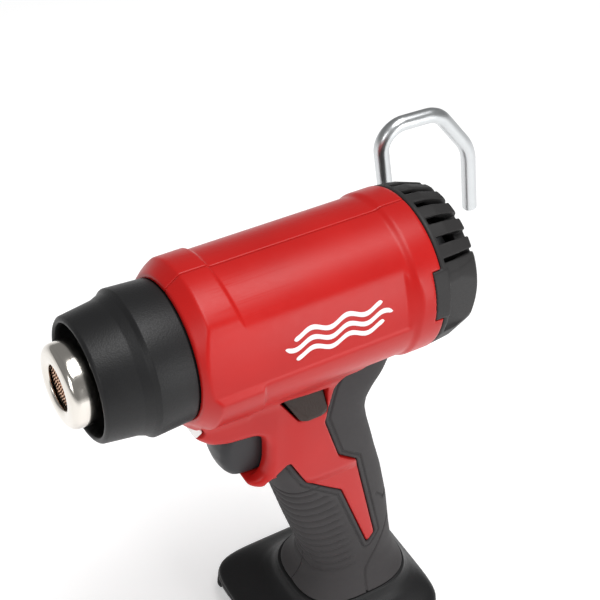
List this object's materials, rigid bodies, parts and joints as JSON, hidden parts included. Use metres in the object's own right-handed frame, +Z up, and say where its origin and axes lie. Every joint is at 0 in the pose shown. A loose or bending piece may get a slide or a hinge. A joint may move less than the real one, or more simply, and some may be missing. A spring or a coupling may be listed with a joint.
{
  "type": "cordless heat gun",
  "caption": "Pistol-grip battery heat gun with a hot-air barrel, side lock, trigger, battery slide and wire hook.",
  "frame": {"origin": "middle of the terminal block's flat underside, on the plane that the foot rests on", "axes": "+X towards the nozzle along the barrel, +Y to the tool's left, +Z up"},
  "size_m": [0.2139, 0.0785, 0.2411],
  "materials": {
    "red_nylon": "satin moulded",
    "black_nylon": "finely textured",
    "slider_nylon": "finely textured",
    "trigger_nylon": "satin",
    "grip_rubber": "soft, matt, ribbed",
    "polished_steel": "polished",
    "plated_wire": "zinc plated",
    "dark_steel": "satin",
    "heater_ceramic": "matt",
    "heater_wire": "heat tinted",
    "mica": "satin",
    "lamp_lens": "clear, frosted",
    "circuit_board": "satin",
    "contact_brass": "bright",
    "aluminium": "satin",
    "red_lead": "satin"
  },
  "bodies": {
    "housing": {"air_duct": "black_nylon", "cap_screw_left": "dark_steel", "cap_screw_right": "dark_steel", "control_board": "circuit_board", "data_blade": "contact_brass", "fan_ring": "black_nylon", "foot_shell": "black_nylon", "front_bulkhead": "mica", "heat_shield": "dark_steel", "heat_sink": "aluminium", "heater_base": "heater_ceramic", "heater_coil": "heater_wire", "heater_core": "heater_ceramic", "housing_screw_1": "dark_steel", "housing_screw_2": "dark_steel", "housing_screw_3": "dark_steel", "housing_screw_4": "dark_steel", "housing_screw_5": "dark_steel", "housing_screw_6": "dark_steel", "intake_filter": "dark_steel", "led_board": "circuit_board", "led_lens": "lamp_lens", "left_grip": "grip_rubber", "left_housing": "red_nylon", "left_rail": "dark_steel", "mica_sleeve": "mica", "motor": "dark_steel", "motor_mount": "black_nylon", "negative_blade": "contact_brass", "negative_lead": "black_nylon", "nozzle_shroud": "black_nylon", "nozzle_tube": "polished_steel", "positive_blade": "contact_brass", "positive_lead": "red_lead", "rear_cap": "black_nylon", "right_grip": "grip_rubber", "right_housing": "red_nylon", "right_rail": "dark_steel", "switch_body": "black_nylon", "terminal_block": "black_nylon", "thermal_cutout": "heater_ceramic", "trigger_spring": "polished_steel"},
    "trigger": {"trigger": "trigger_nylon", "switch_plunger": "contact_brass"},
    "lock_slider": {"lock_slider": "slider_nylon"},
    "hook": {"hook": "plated_wire", "hook_retainer": "dark_steel"},
    "fan_rotor": {"motor_shaft": "polished_steel", "fan_impeller": "black_nylon"}
  },
  "joints": [
    {"name": "trigger_pull", "type": "slide", "parent": "housing", "child": "trigger", "axis": [-1, 0, 0], "range_m": [0, 0.006], "stiffness_N_per_m": 500, "springref_m": -0.004, "deforming": ["trigger_spring"]},
    {"name": "lock_slide", "type": "slide", "parent": "housing", "child": "lock_slider", "axis": [0, -1, 0], "range_m": [0, 0.005]},
    {"name": "hook_swing", "type": "hinge", "parent": "housing", "child": "hook", "pos_m": [-0.03, 0, 0.196], "axis": [0, 1, 0], "range_deg": [0, 180]},
    {"name": "fan_spin", "type": "hinge", "parent": "housing", "child": "fan_rotor", "pos_m": [0, 0, 0.2], "axis": [1, 0, 0], "continuous": true}
  ]
}
